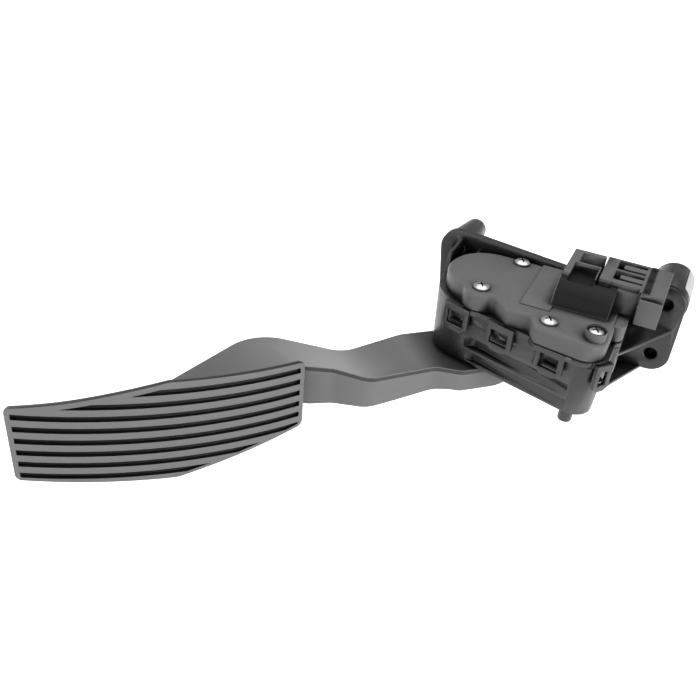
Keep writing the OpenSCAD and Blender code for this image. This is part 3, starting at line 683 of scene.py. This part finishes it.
def darken_between(material, low, high, tone, rough):
    """Gives a moulded plastic another tone and gloss between two corners, with a soft border."""
    tree = material.node_tree
    mask = add_node(tree, "ShaderNodeGroup", 100, 500, node_tree=box_mask)
    mask.inputs["Low"].default_value = low
    mask.inputs["High"].default_value = high
    mask.inputs["Border"].default_value = dark_border
    skin = next(node for node in tree.nodes if node.type == "BSDF_PRINCIPLED")
    for field, kind, value in (("Base Color", "RGBA", grey(tone)), ("Roughness", "FLOAT", rough)):
        mix = add_node(tree, "ShaderNodeMix", 400, 400, data_type=kind)
        first, second, out = {"RGBA": (6, 7, 2), "FLOAT": (2, 3, 0)}[kind]
        mix.inputs[second].default_value = value
        came_from = skin.inputs[field].links[0].from_socket
        tree.links.new(came_from, mix.inputs[first])
        wire(tree, (mask, "Mask"), (mix, 0))
        tree.links.new(mix.outputs[out], skin.inputs[field])


box_mask = make_box_mask()
cover_plastic = moulded_plastic("cover plastic", cover_grey, cover_rough, shade_reach=0.006, closed=0.6,
                                shine=0.2)
darken_between(cover_plastic, hump_low, hump_high, hump_grey, dark_rough)
darken_between(cover_plastic, knob_low, knob_high, knob_grey, dark_rough)
cover = rounded_copy("sensor_cover", "cover", cover_edge)
stand_for(cover, "sensor_cover", "housing", cover_plastic)

# Cover screws
# Steel pan-head screws with a cross recess, zinc plated and bright. They hold the sensor cover down on its
# seal.
scratch_height = 0.00005


def bright_metal(name, tone, rough, scratch=700.0, warm=0.0):
    """Plated or drawn steel: fine scratches in gloss and height over a bright metal."""
    material = bpy.data.materials.new(name)
    material.use_nodes = True
    tree = material.node_tree
    tree.nodes.clear()
    result = add_node(tree, "ShaderNodeOutputMaterial", 900, 0)
    skin = add_node(tree, "ShaderNodeBsdfPrincipled", 600, 0, Metallic=1.0)
    place = add_node(tree, "ShaderNodeTexCoord", -900, 0)
    lines = add_node(tree, "ShaderNodeTexNoise", -600, 0, Scale=scratch, Detail=4.0, Roughness=0.7)
    wire(tree, (place, "Object"), (lines, "Vector"))
    colour = add_node(tree, "ShaderNodeMix", -200, 200, data_type="RGBA")
    colour.inputs["A"].default_value = grey(tone * 0.86, warm)
    colour.inputs["B"].default_value = grey(min(1.0, tone * 1.08), warm)
    wire(tree, (lines, "Fac"), (colour, "Factor"))
    # Painted shade darkens the metal in recesses, such as the screws' cross recess.
    recess = add_node(tree, "ShaderNodeGroup", 100, 500, node_tree=painted_recess_shade)
    recess.inputs["Reach"].default_value = 0.001
    shaded = add_node(tree, "ShaderNodeVectorMath", 350, 200, operation="SCALE")
    tree.links.new(colour.outputs["Result"], shaded.inputs[0])
    wire(tree, (recess, "Share"), (shaded, "Scale"))
    wire(tree, (shaded, "Vector"), (skin, "Base Color"))
    gloss = add_node(tree, "ShaderNodeMapRange", -200, -50)
    gloss.inputs["To Min"].default_value = rough - 0.06
    gloss.inputs["To Max"].default_value = rough + 0.08
    wire(tree, (lines, "Fac"), (gloss, "Value"))
    wire(tree, (gloss, "Result"), (skin, "Roughness"))
    bump = add_node(tree, "ShaderNodeBump", 200, -250)
    bump.inputs["Strength"].default_value = 0.12
    bump.inputs["Distance"].default_value = scratch_height
    wire(tree, (lines, "Fac"), (bump, "Height"))
    wire(tree, (bump, "Normal"), (skin, "Normal"))
    wire(tree, (skin, "BSDF"), (result, "Surface"))
    return material


screw_steel = bright_metal("screw steel", 0.62, 0.3)
refinish(screw_steel, "cover_screws")

# Seal and stops
# A flat rubber seal lies between the cover and the lid, and two rubber blocks end the drive hub's turn.
seal_rubber = moulded_plastic("seal rubber", 0.016, 0.72, grain_depth=0.4, spread=0.25, edge_width=0.0002)
stop_rubber = moulded_plastic("stop rubber", 0.02, 0.66, grain_depth=0.4, spread=0.25, edge_width=0.0003)
refinish(seal_rubber, "cover_seal")
refinish(stop_rubber, "idle_stop", "travel_stop")

# Circuit board
# Glass-filled laminate under green lacquer, with copper tracks that show as paler rings about the pivot.
board_centre = Vector((-0.0855, -0.0550, 0.0))
track_pitch = 0.0038
track_edge = (0.0015, 0.0019)


def lacquered_board(name):
    """Green lacquer whose tone follows ring-shaped tracks about the pivot and a fine weave."""
    material = bpy.data.materials.new(name)
    material.use_nodes = True
    tree = material.node_tree
    tree.nodes.clear()
    result = add_node(tree, "ShaderNodeOutputMaterial", 900, 0)
    skin = add_node(tree, "ShaderNodeBsdfPrincipled", 600, 0, Roughness=0.3)
    place = add_node(tree, "ShaderNodeTexCoord", -1100, 0)
    about = add_node(tree, "ShaderNodeVectorMath", -900, 0, operation="SUBTRACT")
    about.inputs[1].default_value = board_centre
    wire(tree, (place, "Object"), (about, 0))
    flat = add_node(tree, "ShaderNodeVectorMath", -700, 0, operation="MULTIPLY")
    flat.inputs[1].default_value = (1, 1, 0)
    wire(tree, (about, "Vector"), (flat, 0))
    reach = add_node(tree, "ShaderNodeVectorMath", -500, 0, operation="LENGTH")
    wire(tree, (flat, "Vector"), (reach, 0))
    ring = add_node(tree, "ShaderNodeMath", -300, 0, operation="PINGPONG")
    ring.inputs[1].default_value = track_pitch
    wire(tree, (reach, "Value"), (ring, 0))
    track = add_node(tree, "ShaderNodeMapRange", -100, 0)
    track.inputs["From Min"].default_value = track_edge[0]
    track.inputs["From Max"].default_value = track_edge[1]
    wire(tree, (ring, "Value"), (track, "Value"))
    weave = add_node(tree, "ShaderNodeTexNoise", -300, 300, Scale=1500.0, Detail=2.0)
    wire(tree, (place, "Object"), (weave, "Vector"))
    ground = add_node(tree, "ShaderNodeMix", 0, 300, data_type="RGBA")
    ground.inputs["A"].default_value = (0.012, 0.10, 0.04, 1)
    ground.inputs["B"].default_value = (0.02, 0.15, 0.06, 1)
    wire(tree, (weave, "Fac"), (ground, "Factor"))
    colour = add_node(tree, "ShaderNodeMix", 300, 200, data_type="RGBA")
    colour.inputs["B"].default_value = (0.05, 0.26, 0.10, 1)
    tree.links.new(ground.outputs["Result"], colour.inputs["A"])
    wire(tree, (track, "Result"), (colour, "Factor"))
    tree.links.new(colour.outputs["Result"], skin.inputs["Base Color"])
    wire(tree, (skin, "BSDF"), (result, "Surface"))
    return material


refinish(lacquered_board("board laminate"), "circuit_board")

# Contacts
# The six socket pins are tinned copper alloy, and the wiper's fingers are springy copper alloy.
contact_metal = bright_metal("contact metal", 0.72, 0.26, scratch=1500.0, warm=0.04)
wiper_metal = bright_metal("wiper metal", 0.62, 0.28, scratch=1800.0, warm=0.28)
refinish(contact_metal, "contact_pins")
refinish(wiper_metal, "wiper_fingers")

# Bearings and friction shoe
# Plain bushes and a thrust washer in low-friction plastic carry the shaft. A lined shoe stands by the drum,
# close enough for its leaf to press it there.
bush_plastic = moulded_plastic("bush plastic", 0.42, 0.42, edge_width=0.0002, warm=0.22)
washer_plastic = moulded_plastic("washer plastic", 0.55, 0.4, edge_width=0.0002, warm=0.12)
shoe_plastic = moulded_plastic("shoe lining", 0.30, 0.75, grain_depth=0.5, spread=0.3, edge_width=0.0002,
                               warm=0.14)
refinish(bush_plastic, "lower_bush", "upper_bush")
refinish(washer_plastic, "thrust_washer")
refinish(shoe_plastic, "friction_shoe")

# Springs, clip and shaft
# Two nested coils of spring wire turn the pedal back, a bowed leaf presses the shoe, and an open clip holds
# the ground steel shaft.
spring_steel = bright_metal("spring steel", 0.42, 0.32, scratch=1200.0)
shaft_steel = bright_metal("ground steel", 0.66, 0.2, scratch=2400.0)
refinish(spring_steel, "return_spring_outer", "return_spring_inner", "friction_spring", "shaft_clip")
refinish(shaft_steel, "pivot_shaft")

# Drive hub and rotor
# The hub is glass-filled plastic on the shaft, and the paler rotor above it carries the wipers.
hub_plastic = moulded_plastic("hub plastic", 0.10, 0.5)
rotor_plastic = moulded_plastic("rotor plastic", 0.55, 0.5, edge_width=0.0002, warm=0.09)
refinish(hub_plastic, "drive_hub")
refinish(rotor_plastic, "sensor_rotor")

# Sticker
# A plain white sticker in thin paper, with its corners a little clipped. It is wrapped round the outer side
# of the right stand-off and glued down.
sticker_r = 0.0104
sticker_lift = 0.00001
sticker_thick = 0.00012
sticker_corner = 0.0012
sticker_tone = 0.5
sticker_from, sticker_to = math.radians(-24), math.radians(53)
sticker_low_y, sticker_high_y = -0.0245, -0.0012


def make_sticker():
    """Sheet bent round the stand-off's axis, closed all round, with its corners a little clipped."""
    steps = 20
    rows = []
    for i in range(steps + 1):
        angle = sticker_from + (sticker_to - sticker_from) * i / steps
        edge = min(angle - sticker_from, sticker_to - angle) * sticker_r
        cut = max(0.0, sticker_corner - edge) * 0.6
        rows.append((angle, sticker_low_y + cut, sticker_high_y - cut))
    form = bmesh.new()
    rings = []
    for angle, low_y, high_y in rows:
        points = []
        for radius, y in ((0, low_y), (sticker_thick, low_y), (sticker_thick, high_y), (0, high_y)):
            reach = sticker_r + sticker_lift + radius
            points.append(form.verts.new((reach * math.cos(angle), y, reach * math.sin(angle))))
        rings.append(points)
    for one, two in zip(rings, rings[1:]):
        for k in range(4):
            form.faces.new((one[k], two[k], two[(k + 1) % 4], one[(k + 1) % 4]))
    form.faces.new(rings[0])
    form.faces.new(reversed(rings[-1]))
    bmesh.ops.recalc_face_normals(form, faces=form.faces)
    mesh = bpy.data.meshes.new("sticker")
    form.to_mesh(mesh)
    form.free()
    piece = bpy.data.objects.new("sticker", mesh)
    bpy.context.scene.collection.objects.link(piece)
    paper = moulded_plastic("sticker paper", sticker_tone, 0.55, grain_depth=0.15, spread=0.06,
                            edge_width=0.0001)
    mesh.materials.append(paper)
    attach(piece, "housing")


make_sticker()

# Floor and light
# A sheet of white paper that glows and stays out of diffuse light, so that it brightens only grazing
# reflections. A broad soft light hangs above and behind the part, small ones stand at the front left, the
# right and the left, and the camera sees a pure white surround.
floor_size = 6.0
floor_drop = 0.002
paper_glow = 0.8
surround_light = 0.4


def make_floor():
    """Square sheet of paper just under the part."""
    mesh = bpy.data.meshes.new("floor")
    half = floor_size / 2
    depth = cad_low.z - floor_drop
    corners = [(-half, -half, depth), (half, -half, depth), (half, half, depth), (-half, half, depth)]
    mesh.from_pydata(corners, [], [(0, 1, 2, 3)])
    floor = bpy.data.objects.new("floor", mesh)
    bpy.context.scene.collection.objects.link(floor)
    paper = bpy.data.materials.new("paper")
    paper.use_nodes = True
    skin = paper.node_tree.nodes["Principled BSDF"]
    skin.inputs["Base Color"].default_value = (0.9, 0.9, 0.9, 1)
    skin.inputs["Roughness"].default_value = 0.9
    skin.inputs["Emission Color"].default_value = (1, 1, 1, 1)
    skin.inputs["Emission Strength"].default_value = paper_glow
    mesh.materials.append(paper)
    floor.visible_diffuse = False


def soft_light(name, place, aim, size, power):
    """Rectangular light at a place, turned towards its aim."""
    data = bpy.data.lights.new(name, "AREA")
    data.shape = "RECTANGLE"
    data.size, data.size_y = size
    data.energy = power
    light = bpy.data.objects.new(name, data)
    light.location = place
    light.rotation_mode = "QUATERNION"
    light.rotation_quaternion = (Vector(aim) - Vector(place)).to_track_quat("-Z", "Y")
    bpy.context.scene.collection.objects.link(light)


make_floor()
middle = (cad_low + cad_high) / 2
soft_light("above", middle + Vector((0.0, 0.4, 2.2)), middle, (2.6, 2.6), 32)
soft_light("front left", middle + Vector((-0.75, -1.05, 0.45)), middle, (0.8, 0.6), 8)
soft_light("right", middle + Vector((1.0, -0.35, 0.14)), middle, (0.5, 0.7), 11)
soft_light("left", middle + Vector((-0.95, 0.25, 0.2)), middle, (0.25, 0.9), 4)
world = bpy.data.worlds.new("surround")
world.use_nodes = True
seen = add_node(world.node_tree, "ShaderNodeLightPath", -600, 0)
sky = add_node(world.node_tree, "ShaderNodeMapRange", -300, 0)
sky.inputs["To Min"].default_value = surround_light
wire(world.node_tree, (seen, "Is Camera Ray"), (sky, "Value"))
world.node_tree.nodes["Background"].inputs["Color"].default_value = (1, 1, 1, 1)
wire(world.node_tree, (sky, "Result"), (world.node_tree.nodes["Background"], "Strength"))
bpy.context.scene.world = world
bpy.context.scene.view_settings.view_transform = "Standard"
